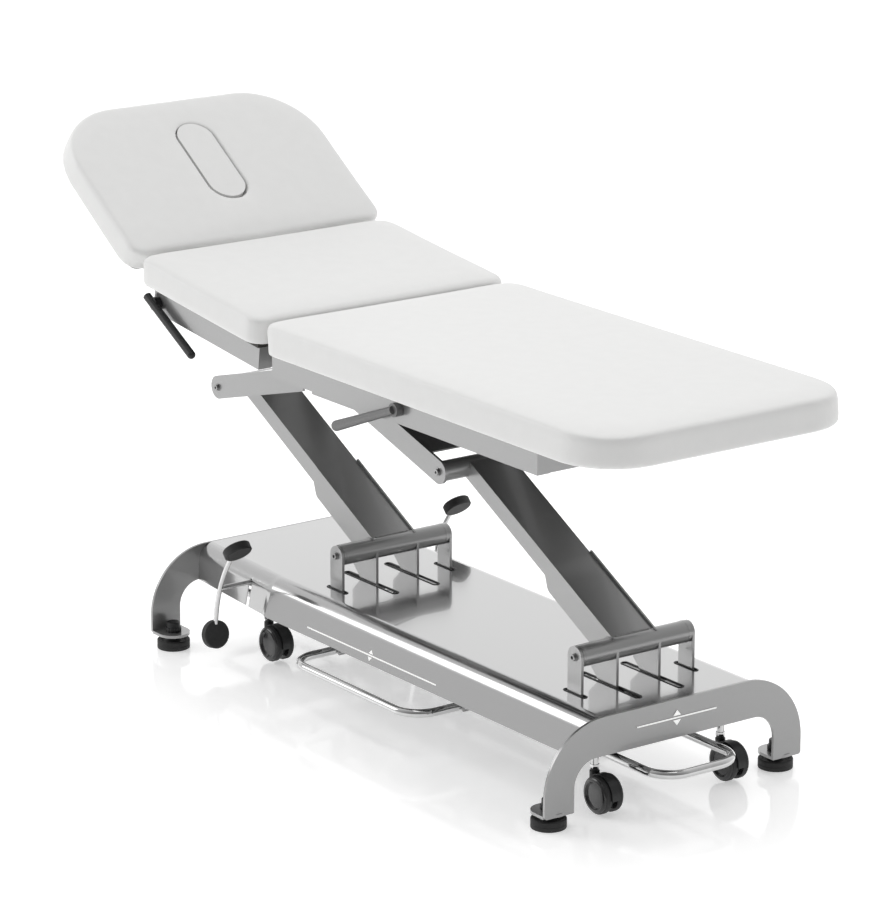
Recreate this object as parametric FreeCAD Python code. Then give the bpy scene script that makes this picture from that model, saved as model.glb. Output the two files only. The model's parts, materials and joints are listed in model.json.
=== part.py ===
import FreeCAD, Part
import math
import os

# Treatment couch: a long low base on four levelling feet, a parallel-arm
# lift, and a lying surface in three sections. Millimetres throughout.
# X runs along the couch towards the foot end, Y across it, Z up.
# Pieces are drawn about the middle of the base and the whole couch is then
# moved so that the bottom centre of its envelope is the origin.

V = FreeCAD.Vector

# Base: end plates, cover and frame
plate_face_x = 693.0          # outer face of each end plate from the middle
plate_t = 6.0
plate_half_w = 317.0
plate_leg_w = 70.0
plate_foot_z = 30.0           # underside of the bent foot tab
plate_top_z = 208.0
plate_bridge_h = 78.0
plate_shoulder_r = 140.0
plate_arch_r = 52.0
foot_setback = 33.5           # plate face to the levelling screw
cover_sheet = 2.5
cover_bottom_z = 130.0
cover_bottom_half = 229.0
cover_top_half = 203.5        # where side and top would meet before the bend
cover_bend_r = 35.0
cover_head_bottom_half = 199.0
cover_head_top_half = 195.0
cover_ridge_x = -388.0        # fold where the flared side starts
cover_ridge_len = 16.0
cover_ridge_step = 6.0
rail_w = 30.0
rail_h = 55.0
rail_wall = 3.0
post_inner_y = 134.5
post_t = 6.0
post_w = 43.0

cross_bar_head_x = -600.0
cross_bar_mid_x = 120.0
cross_bar_foot_x = 650.0
control_box_x = 516.0
control_box_len = 84.0

# Lift: two equal arms on base pivots carry the top frame
pivot_head_x = -250.0
pivot_foot_x = 553.0
pivot_z = 282.0
arm_length = 542.0
arm_rest_deg = 27.8
arm_half_w = 50.0
arm_sheet = 4.0
arm_web_up = 19.7             # outer face of the web above the pivot line
arm_flange_down = 16.7
doubler_sheet = 4.0
doubler_down = 34.0
doubler_len = 235.0
doubler_corner_r = 20.0
base_tube_r = 22.0
top_tube_r = 21.0
tube_wall = 5.0
hub_t = 12.0                  # solid bush in each tube end
pivot_pin_r = 5.0
pivot_head_r = 6.5
pivot_head_h = 6.0
run_gap = 0.05                # radial clearance of a running fit
free_gap = 0.4                # radial clearance where a pin only passes
side_gap = 0.5                # side clearance at a pivot
horn_y = 52.0                 # middle plane of each horn plate
horn_t = 6.0
horn_drop = 115.0             # pivot to the drive pin between the horns
horn_eye_r = 18.0
horn_front_x = 22.0
drive_pin_r = 7.0
drive_rod_r = 10.0
drive_tube_r = 22.0
drive_tube_x0 = -60.0
drive_tube_x1 = 380.0
drive_rod_in = 130.0          # length of rod inside the tube at rest
slot_half = 92.0              # half length of a horn slot in the cover
post_slot_half = 31.0
slot_w = 14.0

# Top frame
beam_plate_y = 110.0          # inner face of the beam's side plates
beam_plate_t = 6.0
beam_depth = 50.0
beam_flat_z = 598.0           # underside of the level middle of the beam
beam_head_deg = 15.1
beam_foot_deg = 17.0
beam_web_t = 4.0
beam_web_drop = 5.0
beam_notch_x = -388.0
beam_notch_r = 17.0
seat_under_z = 739.0          # underside of the seat cushion
frame_w = 30.0
frame_h = 50.0
inner_rail_y = 98.0
inner_rail_foot_x = 330.0
seat_rail_head_x = -250.0
seat_rail_foot_x = 632.0

# Lying surface
couch_half_w = 325.0
frame_setback = 30.0          # side of the cushion to the side of the rail below it
cushion_t = 65.0
board_t = 7.0
board_inset = 22.0
cushion_edge_r = 13.0
seat_foot_x = 855.0
hinge_x = -262.3              # hinge between seat and middle section
hinge_rise = 44.0             # hinge axis above the underside of the seat
section_gap = 14.0
mid_len = 468.4
head_len = 443.0
mid_rest_deg = 6.4
head_rest_deg = 27.1          # head section relative to the middle section
seat_corner_r = 130.0
inner_corner_r = 42.0
head_corner_r = 165.0
face_slot_from = 245.0        # hinge to the middle of the face opening
face_slot_len = 229.0
face_slot_w = 88.0
plug_gap = 1.0
hinge_pin_r = 3.0
hinge_lug_t = 5.0
hinge_lug_r = 5.5
hinge_lug_setback = 105.0
mid_rail_from = 28.0
mid_rail_to = 425.0
head_frame_setback = 60.0
head_frame_to = 385.0

# Release handles
lever_gap = 15.0              # rail side to the middle of a lever
lever_r = 9.0
lever_len = 165.0
lever_back = 26.0
lever_deg = 22.3
head_shaft_from = 406.0       # hinge to the shaft on the middle section
head_shaft_z = 712.0
seat_lever_x = 192.0
seat_lever_z = 720.0
seat_lever_len = 206.0
seat_lever_root_r = 8.5
seat_lever_tip_r = 11.0
seat_lever_deg = 21.2
shaft_r = 6.0
clamp_r = 14.0
clamp_w = 26.0

# Castors, feet, pedals and foot bars
castor_head_x = -480.0
castor_foot_x = 639.0
castor_y = 156.0
castor_wheel_r = 37.5
castor_wheel_in = 6.5
castor_wheel_w = 18.0
castor_hood_r = 40.5
castor_hood_t = 2.0
castor_hood_lip = 3.0
castor_trail = 28.0
castor_axle_r = 4.0
castor_stem_r = 6.0
castor_float = 4.0            # wheels clear of the floor while the feet carry
carriage_z = 132.0
carriage_h = 16.0
carriage_half_x = 28.0
carriage_half_y = 186.0
guide_out = 18.0
guide_y = 95.0
guide_r = 8.0
guide_block = 17.0
pad_r = 35.0
pad_h = 22.0
knob_r = 17.0
knob_h = 22.0
screw_r = 6.0
foot_bar_z = 92.0
foot_bar_r = 9.0
side_bar_y = 282.0
side_bar_half = 216.0
side_bar_pivot_y = 160.0
end_bar_x = 778.0
end_bar_half = 98.0
end_bar_pivot_head_x = -560.0
end_bar_pivot_foot_x = 490.0
bar_bend_r = 58.0
bar_pin_r = 4.0
pedal_x = -472.0
pedal_z = 181.0
pedal_y = 283.0
pedal_rod_r = 5.0
pedal_crank = 24.0
pedal_pad_r = 30.0
pedal_pad_t = 19.0

# Worked out from the values above
arm_rad = math.radians(arm_rest_deg)
plate_in_x = plate_face_x - plate_t
plate_bridge_z = plate_top_z - plate_bridge_h
foot_x = plate_face_x - foot_setback
foot_y = plate_half_w - plate_leg_w / 2
rail_top_z = plate_top_z - cover_sheet
rail_z = rail_top_z - rail_h
rail_in_y = post_inner_y + post_t
rail_out_y = rail_in_y + rail_w
top_dx = -arm_length * math.cos(arm_rad)
top_pivot_z = pivot_z + arm_length * math.sin(arm_rad)
top_head_x = pivot_head_x + top_dx
top_foot_x = pivot_foot_x + top_dx
drive_z = pivot_z - horn_drop
beam_flat_top = beam_flat_z + beam_depth
frame_z = seat_under_z - frame_h
frame_half_w = couch_half_w - frame_setback
frame_in_y = frame_half_w - frame_w
lever_y = frame_half_w + lever_gap
hinge_lug_y = frame_half_w - hinge_lug_setback
head_frame_y = frame_half_w - head_frame_setback
hinge_z = seat_under_z + hinge_rise
head_hinge_x = hinge_x - mid_len
castor_axle_z = castor_wheel_r + castor_float
head_shaft_x = hinge_x - head_shaft_from


# Drawing helpers
def box(x0, x1, y0, y1, z0, z1):
    return Part.makeBox(x1 - x0, y1 - y0, z1 - z0, V(x0, y0, z0))


def rod(p, q, r):
    return Part.makeCylinder(r, q.sub(p).Length, p, q.sub(p))


def cone(p, q, r0, r1):
    if abs(r0 - r1) < 1e-6:
        return rod(p, q, r0)
    return Part.makeCone(r0, r1, q.sub(p).Length, p, q.sub(p))


def rod_y(x, z, y0, y1, r):
    return Part.makeCylinder(r, y1 - y0, V(x, y0, z), V(0, 1, 0))


def rod_z(x, y, z0, z1, r):
    return Part.makeCylinder(r, z1 - z0, V(x, y, z0), V(0, 0, 1))


def fuse(shapes):
    whole = shapes[0]
    if len(shapes) > 1:
        whole = whole.multiFuse(shapes[1:])
    return whole.removeSplitter()


def mirrored(shape):
    return shape.mirror(V(0, 0, 0), V(0, 1, 0))


def both_sides(shape):
    return fuse([shape, mirrored(shape)])


def turned(shape, x, z, deg):
    copy = shape.copy()
    copy.rotate(V(x, 0, z), V(0, 1, 0), deg)
    return copy


def rounded_wire(points, radii):
    count = len(points)
    starts = []
    ends = []
    mids = []
    for i in range(count):
        p = points[i]
        u = points[i - 1].sub(p)
        w = points[(i + 1) % count].sub(p)
        u.normalize()
        w.normalize()
        r = radii[i]
        half = u.getAngle(w) / 2
        reach = r / math.tan(half)
        starts.append(p + u * reach)
        ends.append(p + w * reach)
        middle = u + w
        if r > 0:
            middle.normalize()
        mids.append(p + middle * (r / math.sin(half) - r))
    edges = []
    for i in range(count):
        if starts[i].sub(ends[i - 1]).Length > 1e-6:
            edges.append(Part.makeLine(ends[i - 1], starts[i]))
        if radii[i] > 0:
            edges.append(Part.Arc(starts[i], mids[i], ends[i]).toShape())
    return Part.Wire(edges)


def in_yz(x, pairs):
    return [V(x, y, z) for y, z in pairs]


def in_xz(y, pairs):
    return [V(x, y, z) for x, z in pairs]


def in_xy(z, pairs):
    return [V(x, y, z) for x, y in pairs]


def slab(points, radii, along):
    return Part.Face(rounded_wire(points, radii)).extrude(along)


def hollow_bar(x0, x1, y0, y1, z0, z1, wall):
    whole = box(x0, x1, y0, y1, z0, z1)
    return whole.cut(box(x0 + wall, x1 - wall, y0 + wall, y1 - wall, z0 + wall, z1 - wall))


# Base
def end_plate(sign):
    w = plate_half_w
    inner = w - plate_leg_w
    z0 = plate_foot_z
    outline = [(-w, z0), (-w, plate_top_z), (w, plate_top_z), (w, z0)]
    outline += [(inner, z0), (inner, plate_bridge_z), (-inner, plate_bridge_z), (-inner, z0)]
    radii = [6, plate_shoulder_r, plate_shoulder_r, 6, 0, plate_arch_r, plate_arch_r, 0]
    x = plate_in_x if sign > 0 else -plate_face_x
    plate = slab(in_yz(x, outline), radii, V(plate_t, 0, 0))
    pieces = [plate]
    for side in (-1, 1):
        near = min(sign * foot_x, sign * plate_in_x)
        far = max(sign * foot_x, sign * plate_in_x)
        half = plate_leg_w / 2
        y = side * foot_y
        pieces.append(box(near, far, y - half, y + half, z0, z0 + plate_t))
        pieces.append(rod_z(sign * foot_x, y, z0, z0 + plate_t, half))
    whole = fuse(pieces)
    for side in (-1, 1):
        hole = rod_z(sign * foot_x, side * foot_y, z0 - 1, z0 + plate_t + 1, screw_r + free_gap)
        whole = whole.cut(hole)
    return whole


def cover_section(x, bottom_half, top_half, inset, low):
    top = plate_top_z - inset
    slope = (bottom_half - top_half) / (plate_top_z - cover_bottom_z)
    b = bottom_half - inset + slope * (cover_bottom_z - low)
    t = top_half - inset + slope * inset
    pairs = [(-b, low), (-t, top), (t, top), (b, low)]
    bend = cover_bend_r - inset
    return rounded_wire(in_yz(x, pairs), [0, bend, bend, 0])


def cover_solid(inset, low, over):
    main = [plate_in_x + over, cover_ridge_x]
    head = [cover_ridge_x - cover_ridge_len, -plate_in_x - over]
    step_half = cover_bottom_half - cover_ridge_step
    wires = [
        cover_section(main[0], cover_bottom_half, cover_top_half, inset, low),
        cover_section(main[1], cover_bottom_half, cover_top_half, inset, low),
        cover_section(head[0], step_half, cover_top_half, inset, low),
        cover_section(head[1], cover_head_bottom_half, cover_head_top_half, inset, low),
    ]
    pieces = []
    for first, second in zip(wires[:-1], wires[1:]):
        pieces.append(Part.makeLoft([first, second], True, True))
    return fuse(pieces)


def base_cover():
    sheet = cover_solid(0.0, cover_bottom_z, 0.0)
    sheet = sheet.cut(cover_solid(cover_sheet, cover_bottom_z - 5, 5.0))
    low = plate_top_z - 12
    high = plate_top_z + 5
    for x in (pivot_head_x, pivot_foot_x):
        for side in (-1, 1):
            y = side * (post_inner_y + post_t / 2)
            half = post_t / 2 + 2
            sheet = sheet.cut(box(x - post_slot_half, x + post_slot_half, y - half, y + half, low, high))
            y = side * horn_y
            half = slot_w / 2
            slot = box(x - slot_half + half, x + slot_half - half, y - half, y + half, low, high)
            slot = slot.fuse(rod_z(x - slot_half + half, y, low, high, half))
            slot = slot.fuse(rod_z(x + slot_half - half, y, low, high, half))
            sheet = sheet.cut(slot)
    half = pedal_rod_r + 1.5
    for side in (-1, 1):
        y0 = min(side * 175, side * 245)
        notch = box(pedal_x - half, pedal_x + half, y0, y0 + 70, cover_bottom_z - 10, pedal_z)
        sheet = sheet.cut(notch.fuse(rod_y(pedal_x, pedal_z, y0, y0 + 70, half)))
    return sheet


def base_frame():
    pieces = []
    for side in (-1, 1):
        y0 = min(side * rail_in_y, side * rail_out_y)
        rail = hollow_bar(-plate_in_x, plate_in_x, y0, y0 + rail_w, rail_z, rail_top_z, rail_wall)
        pieces.append(rail)
        for sign, castor_x in ((-1, castor_head_x), (1, castor_foot_x)):
            x = castor_x + sign * guide_out
            y1 = min(side * (guide_y - guide_block), side * rail_in_y)
            y2 = max(side * (guide_y - guide_block), side * rail_in_y)
            block = box(x - guide_block + 2, x + guide_block - 2, y1, y2, rail_z, rail_z + 30)
            pieces.append(block)
        for x in (-side_bar_half, side_bar_half):
            y = side * side_bar_pivot_y
            pieces.append(box(x - foot_bar_r - 6, x - foot_bar_r - 1, y - 8, y + 8, foot_bar_z - 8, rail_z))
            pieces.append(box(x + foot_bar_r + 1, x + foot_bar_r + 6, y - 8, y + 8, foot_bar_z - 8, rail_z))
    for x in (cross_bar_head_x, cross_bar_mid_x, cross_bar_foot_x):
        pieces.append(box(x - 12, x + 12, -rail_in_y, rail_in_y, rail_top_z - 12, rail_top_z))
    for x in (end_bar_pivot_head_x, end_bar_pivot_foot_x):
        for side in (-1, 1):
            y = side * end_bar_half
            for off in (-foot_bar_r - 6, foot_bar_r + 1):
                pieces.append(box(x - 8, x + 8, y + off, y + off + 5, foot_bar_z - 8, rail_z + 20))
            pieces.append(box(x - 8, x + 8, min(y, side * rail_in_y), max(y, side * rail_in_y),
                              rail_z + 14, rail_z + 20))
    whole = fuse(pieces)
    for side in (-1, 1):
        for sign, castor_x in ((-1, castor_head_x), (1, castor_foot_x)):
            x = castor_x + sign * guide_out
            whole = whole.cut(rod_z(x, side * guide_y, rail_z - 5, rail_z + 35, guide_r + run_gap))
        y = side * side_bar_pivot_y
        for x in (-side_bar_half, side_bar_half):
            pin = rod(V(x - 30, y, foot_bar_z), V(x + 30, y, foot_bar_z), bar_pin_r + run_gap)
            whole = whole.cut(pin)
        for x in (end_bar_pivot_head_x, end_bar_pivot_foot_x):
            y = side * end_bar_half
            whole = whole.cut(rod_y(x, foot_bar_z, y - 30, y + 30, bar_pin_r + run_gap))
    whole = whole.cut(rod_y(pedal_x, pedal_z, -200, 200, pedal_rod_r + run_gap))
    return whole.cut(base_cover())


def pivot_post(x, side):
    half = post_w / 2
    y0 = min(side * post_inner_y, side * (post_inner_y + post_t))
    plate = box(x - half, x + half, y0, y0 + post_t, rail_z, pivot_z)
    plate = plate.fuse(rod_y(x, pivot_z, y0, y0 + post_t, half)).removeSplitter()
    return plate.cut(rod_y(x, pivot_z, y0 - 1, y0 + post_t + 1, pivot_pin_r))


def hex_head(x, z, y0, y1, across):
    points = []
    for i in range(6):
        angle = math.radians(60 * i + 15)
        points.append(V(x + across * math.cos(angle), y0, z + across * math.sin(angle)))
    return slab(points, [0] * 6, V(0, y1 - y0, 0))


def pivot_bolt(x, z, face_y, inner_y):
    shank = rod_y(x, z, inner_y, face_y, pivot_pin_r)
    washer = rod_y(x, z, face_y, face_y + 2, pivot_head_r + 1.5)
    head = rod_y(x, z, face_y + 2, face_y + pivot_head_h, pivot_head_r)
    socket = hex_head(x, z, face_y + 3.5, face_y + pivot_head_h + 1, pivot_head_r / 2)
    return fuse([shank, washer, head]).cut(socket)


def base_bolt(x, side):
    bolt = pivot_bolt(x, pivot_z, post_inner_y + post_t, post_inner_y - side_gap - hub_t)
    return bolt if side > 0 else mirrored(bolt)


def control_box():
    top = drive_z - horn_drop / 4
    low = foot_bar_z + foot_bar_r + 2
    outline = [(-112, low), (-8, low), (-8, top - 4), (-112, top - 4)]
    x0 = control_box_x
    x1 = control_box_x + control_box_len
    body = slab(in_yz(x0, outline), [12, 12, 3, 3], V(x1 - x0, 0, 0))
    lid = box(x0 - 4, x1 + 4, -rail_out_y, -4, top - 4, top)
    hanger = box(x0 + 14, x1 - 14, -rail_out_y + 3, -rail_in_y - 3, top, rail_z)
    return fuse([body, lid, hanger])


def drive_housing():
    tube = rod(V(drive_tube_x0, 0, drive_z), V(drive_tube_x1, 0, drive_z), drive_tube_r)
    gear = box(drive_tube_x0 - 60, drive_tube_x0 + 20, -34, 34, drive_z - 30, drive_z + 30)
    gear = gear.makeFillet(8, gear.Edges)
    motor = rod(V(drive_tube_x0 - 20, -30, drive_z - 4), V(drive_tube_x0 - 20, -112, drive_z - 4), 27)
    whole = fuse([tube, gear, motor])
    saddle = box(60, 84, -40, 40, drive_z - 6, rail_top_z - 12)
    saddle = saddle.fuse(box(108, 132, -40, 40, drive_z - 6, rail_top_z - 12))
    whole = fuse([whole, saddle])
    bore = rod(V(drive_tube_x0 + 60, 0, drive_z), V(drive_tube_x1 + 5, 0, drive_z), drive_rod_r + run_gap)
    return whole.cut(bore)


def drive_rod():
    front = pivot_foot_x - 30
    shaft = rod(V(drive_tube_x1 - drive_rod_in, 0, drive_z), V(front, 0, drive_z), drive_rod_r)
    yoke = box(front - 6, pivot_foot_x + 22, -24, 24, drive_z - 16, drive_z + 32)
    half = drive_pin_r + 2.5
    slot = box(pivot_foot_x - half, pivot_foot_x + half, -30, 30, drive_z - 10, drive_z + 26)
    return fuse([shaft, yoke]).cut(slot)


# Lift arms, drawn level with the far pivot towards the head, then raised
def arm_to_place(shape, pivot_x):
    copy = shape.copy()
    copy.rotate(V(0, 0, 0), V(0, 1, 0), arm_rest_deg)
    copy.translate(V(pivot_x, 0, pivot_z))
    return copy


def pivot_tube(x, half, r, bore_r):
    tube = rod_y(x, 0, -half, half, r)
    tube = tube.cut(rod_y(x, 0, -half + hub_t, half - hub_t, r - tube_wall))
    return tube.cut(rod_y(x, 0, -half - 1, half + 1, bore_r))


def arm_channel_flat(bore_r):
    foot_end = -base_tube_r - 12
    up = arm_web_up
    down = -arm_flange_down
    w = arm_half_w
    s = arm_sheet
    pieces = []
    for side in (-1, 1):
        y0 = min(side * w, side * (w - s))
        flange = box(-arm_length, foot_end, y0, y0 + s, down, up)
        pieces.append(flange)
        pieces.append(rod_y(-arm_length, 0, y0, y0 + s, up))
    pieces.append(box(-arm_length, 0, -w, w, up - s, up))
    shell = fuse(pieces).cut(rod_y(0, 0, -w - 1, w + 1, base_tube_r + run_gap))
    half = beam_plate_y - side_gap
    shell = shell.cut(rod_y(-arm_length, 0, -half, half, top_tube_r))
    return fuse([shell, pivot_tube(-arm_length, half, top_tube_r, bore_r)])


def doubler_flat():
    up = arm_web_up + doubler_sheet
    w = arm_half_w + doubler_sheet
    low = -doubler_down
    pieces = []
    outline = [(0, up), (0, low), (-doubler_len + 28, low), (-doubler_len, low + 28), (-doubler_len, up)]
    for side in (-1, 1):
        y0 = min(side * w, side * arm_half_w)
        radii = [0, 0, doubler_corner_r, doubler_corner_r, 0]
        pieces.append(slab(in_xz(y0, outline), radii, V(0, doubler_sheet, 0)))
    pieces.append(box(-doubler_len + 36, -90, -w, w, low, low + doubler_sheet))
    whole = fuse(pieces)
    return whole.cut(rod_y(0, 0, -w - 1, w + 1, base_tube_r))


def horns_flat():
    f = horn_front_x
    r = horn_eye_r
    d = -horn_drop
    outline = [(f, 0), (f, d), (f - 4, d - r), (-f, d - r), (-f - 4, d + 10), (-33, -74)]
    outline += [(-64, -44), (-64, 0)]
    radii = [0, 8, 12, 14, 8, 30, 6, 0]
    pieces = []
    for side in (-1, 1):
        y0 = side * horn_y - horn_t / 2
        plate = slab(in_xz(y0, outline), radii, V(0, horn_t, 0))
        pieces.append(turned(plate, 0, 0, -arm_rest_deg))
    pin_x = horn_drop * math.sin(math.radians(arm_rest_deg))
    pin_z = -horn_drop * math.cos(math.radians(arm_rest_deg))
    pieces.append(rod_y(pin_x, pin_z, -horn_y - horn_t, horn_y + horn_t, drive_pin_r))
    return fuse(pieces).cut(doubler_flat())


def base_tube_flat():
    half = post_inner_y - side_gap
    whole = horns_flat().cut(rod_y(0, 0, -half, half, base_tube_r))
    return fuse([whole, pivot_tube(0, half, base_tube_r, pivot_pin_r + run_gap)])


# Top frame
def beam_centre():
    rise_head = math.tan(math.radians(beam_head_deg))
    rise_foot = math.tan(math.radians(beam_foot_deg))
    level = beam_flat_z + beam_depth / 2
    head_x = top_head_x + (level - top_pivot_z) / rise_head
    foot_x_end = top_foot_x - (level - top_pivot_z) / rise_foot
    return head_x, foot_x_end, level


def beam_band(above, below, head_cut, foot_cut):
    bend_head, bend_foot, level = beam_centre()
    a = math.radians(beam_head_deg)
    b = math.radians(beam_foot_deg)

    def on_head(s, off):
        return (top_head_x + s * math.cos(a) - off * math.sin(a),
                top_pivot_z + s * math.sin(a) + off * math.cos(a))

    def on_foot(s, off):
        return (top_foot_x - s * math.cos(b) + off * math.sin(b),
                top_pivot_z + s * math.sin(b) + off * math.cos(b))

    def bends(off):
        left = bend_head - off * math.tan(a / 2)
        right = bend_foot + off * math.tan(b / 2)
        return (left, level + off), (right, level + off)

    low_left, low_right = bends(below)
    high_left, high_right = bends(above)
    return [on_head(head_cut, below), low_left, low_right, on_foot(foot_cut, below),
            on_foot(foot_cut, above), high_right, high_left, on_head(head_cut, above)]


def link_beam():
    half = beam_depth / 2
    pieces = []
    for side in (-1, 1):
        y0 = min(side * beam_plate_y, side * (beam_plate_y + beam_plate_t))
        plate = slab(in_xz(y0, beam_band(half, -half, 0, 0)), [0, 8, 8, 0, 0, 8, 8, 0], V(0, beam_plate_t, 0))
        plate = plate.fuse(rod_y(top_head_x, top_pivot_z, y0, y0 + beam_plate_t, half))
        plate = plate.fuse(rod_y(top_foot_x, top_pivot_z, y0, y0 + beam_plate_t, half))
        pieces.append(plate)
    upper = half - beam_web_drop
    strip = beam_band(upper, upper - beam_web_t, 45, 45)
    pieces.append(slab(in_xz(-beam_plate_y, strip), [0] * 8, V(0, 2 * beam_plate_y, 0)))
    whole = fuse(pieces)
    whole = whole.cut(rod_y(beam_notch_x, beam_flat_z, -200, 200, beam_notch_r))
    for x in (top_head_x, top_foot_x):
        whole = whole.cut(rod_y(x, top_pivot_z, -200, 200, pivot_pin_r))
    return whole


def top_bolts(x):
    bolt = pivot_bolt(x, top_pivot_z, beam_plate_y + beam_plate_t, beam_plate_y - side_gap - hub_t)
    return bolt


def lug(x, y0, toward, reach):
    # A lug stands in the gap between two cushions and turns in under its own one.
    z0 = seat_under_z - frame_h + 6
    near = x + toward * 1
    far = x + toward * hinge_lug_r
    shank = box(min(near, far), max(near, far), y0, y0 + hinge_lug_t, z0, hinge_z)
    eye = rod_y(x, hinge_z, y0, y0 + hinge_lug_t, hinge_lug_r)
    arm = box(min(near, x + toward * reach), max(near, x + toward * reach), y0, y0 + hinge_lug_t, z0, z0 + 22)
    return fuse([shank, eye, arm])


def fixed_lugs(x, reach):
    y0 = hinge_lug_y - hinge_lug_t
    piece = lug(x, y0, 1, reach)
    pin = rod_y(x, hinge_z, y0, y0 + 2 * hinge_lug_t + 2 * side_gap, hinge_pin_r)
    return fuse([piece, pin])


def turning_lugs(x, reach):
    y0 = hinge_lug_y + side_gap
    piece = lug(x, y0, -1, reach)
    return piece.cut(rod_y(x, hinge_z, y0 - 1, y0 + hinge_lug_t + 1, hinge_pin_r + run_gap))


def seat_frame():
    side = hollow_bar(seat_rail_head_x, seat_rail_foot_x, frame_in_y, frame_half_w,
                      frame_z, seat_under_z, rail_wall)
    inner = hollow_bar(beam_centre()[0], inner_rail_foot_x, inner_rail_y, inner_rail_y + frame_w,
                       beam_flat_top, frame_z + 1, rail_wall)
    lugs = fixed_lugs(hinge_x, seat_rail_head_x - hinge_x + 2)
    pieces = [side, mirrored(side), inner, mirrored(inner), lugs, mirrored(lugs)]
    for x in (seat_rail_head_x, inner_rail_foot_x - frame_w, seat_rail_foot_x - frame_w):
        pieces.append(hollow_bar(x, x + frame_w, -frame_in_y - 1, frame_in_y + 1,
                                 frame_z + 1, seat_under_z, rail_wall))
    whole = fuse(pieces)
    return whole.cut(rod_y(seat_lever_x, seat_lever_z, -320, 320, shaft_r + run_gap))


def padded_slab(x0, x1, z0, z1, r_head, r_foot):
    w = couch_half_w
    pairs = [(x0, -w), (x1, -w), (x1, w), (x0, w)]
    body = slab(in_xy(z0, pairs), [r_head, r_foot, r_foot, r_head], V(0, 0, z1 - z0))
    upper = [e for e in body.Edges if e.BoundBox.ZMin > z1 - 0.01]
    body = body.makeFillet(cushion_edge_r, upper)
    lower = [e for e in body.Edges if e.BoundBox.ZMax < z0 + 0.01]
    return body.makeChamfer(cushion_edge_r / 2, lower)


def seat_cushion():
    return padded_slab(hinge_x + section_gap / 2, seat_foot_x, seat_under_z + 0.3,
                       seat_under_z + cushion_t, inner_corner_r, seat_corner_r)


# Middle section, drawn level
def mid_frame_flat():
    x0 = hinge_x - mid_rail_to
    x1 = hinge_x - mid_rail_from
    side = hollow_bar(x0, x1, frame_in_y, frame_half_w, frame_z, seat_under_z, rail_wall)
    own = turning_lugs(hinge_x, mid_rail_from + 2)
    next_lugs = fixed_lugs(head_hinge_x, x0 - head_hinge_x + 2)
    pieces = [side, mirrored(side), own, mirrored(own), next_lugs, mirrored(next_lugs)]
    for x in (x0, x1 - frame_w):
        pieces.append(hollow_bar(x, x + frame_w, -frame_in_y - 1, frame_in_y + 1,
                                 frame_z + 1, seat_under_z, rail_wall))
    whole = fuse(pieces)
    return whole.cut(rod_y(head_shaft_x, head_shaft_z, -320, 320, shaft_r + run_gap))


def mid_board_flat():
    board_half = couch_half_w - board_inset
    return box(head_hinge_x + board_inset, hinge_x - board_inset, -board_half, board_half,
               seat_under_z, seat_under_z + board_t)


def mid_cushion_flat():
    return padded_slab(head_hinge_x + section_gap / 2, hinge_x - section_gap / 2,
                       seat_under_z + board_t + 0.3, seat_under_z + cushion_t, inner_corner_r, inner_corner_r)


def mid_to_place(shape):
    return turned(shape, hinge_x, hinge_z, mid_rest_deg)


# Head section, drawn level
def slot_outline(z0, height, gap):
    x = head_hinge_x - face_slot_from
    half_l = face_slot_len / 2 - gap
    half_w = face_slot_w / 2 - gap
    pairs = [(x - half_l, -half_w), (x + half_l, -half_w), (x + half_l, half_w), (x - half_l, half_w)]
    return slab(in_xy(z0, pairs), [half_w - 0.01] * 4, V(0, 0, height))


def head_frame_flat():
    x0 = head_hinge_x - head_frame_to
    x1 = head_hinge_x - mid_rail_from
    z0 = frame_z + 20
    side = hollow_bar(x0, x1, head_frame_y - frame_w, head_frame_y, z0, seat_under_z, rail_wall)
    own = turning_lugs(head_hinge_x, mid_rail_from + 2)
    pieces = [side, mirrored(side), own, mirrored(own)]
    for x in (x0, x1 - frame_w):
        pieces.append(hollow_bar(x, x + frame_w, -head_frame_y, head_frame_y, z0, seat_under_z, rail_wall))
    return fuse(pieces)


def head_board_flat():
    board_half = couch_half_w - board_inset
    corner = head_corner_r - board_inset
    bx0 = head_hinge_x - head_len + board_inset
    bx1 = head_hinge_x - board_inset
    pairs = [(bx0, -board_half), (bx1, -board_half), (bx1, board_half), (bx0, board_half)]
    board = slab(in_xy(seat_under_z, pairs), [corner, 20, 20, corner], V(0, 0, board_t))
    return board.cut(slot_outline(frame_z, cushion_t + frame_h, -6))


def head_cushion_flat():
    body = padded_slab(head_hinge_x - head_len, head_hinge_x - section_gap / 2,
                       seat_under_z + board_t + 0.3, seat_under_z + cushion_t, head_corner_r, inner_corner_r)
    return body.cut(slot_outline(seat_under_z, cushion_t + 10, 0))


def head_plug_flat():
    top = seat_under_z + cushion_t - 3
    plug = slot_outline(seat_under_z + board_t + 0.3, top - seat_under_z - board_t - 0.3, plug_gap)
    return plug


def head_to_place(shape):
    return mid_to_place(turned(shape, head_hinge_x, hinge_z, head_rest_deg))


# Release handles
def handle_pair(x, z, deg, forward, back, root_r, tip_r):
    angle = math.radians(deg)
    tip = V(x + forward * math.cos(angle), -lever_y, z - abs(forward) * math.sin(angle))
    tail = V(x - back * math.cos(angle), -lever_y, z + abs(back) * math.sin(angle))
    lever = cone(tail, tip, root_r, tip_r)
    knob = Part.makeSphere(tip_r, tip)
    clamp = rod_y(x, z, -lever_y - 1, -frame_half_w - 1.5, clamp_r)
    one = fuse([lever, knob, clamp])
    shaft = rod_y(x, z, -lever_y, lever_y, shaft_r)
    return fuse([one, mirrored(one), shaft])


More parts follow.
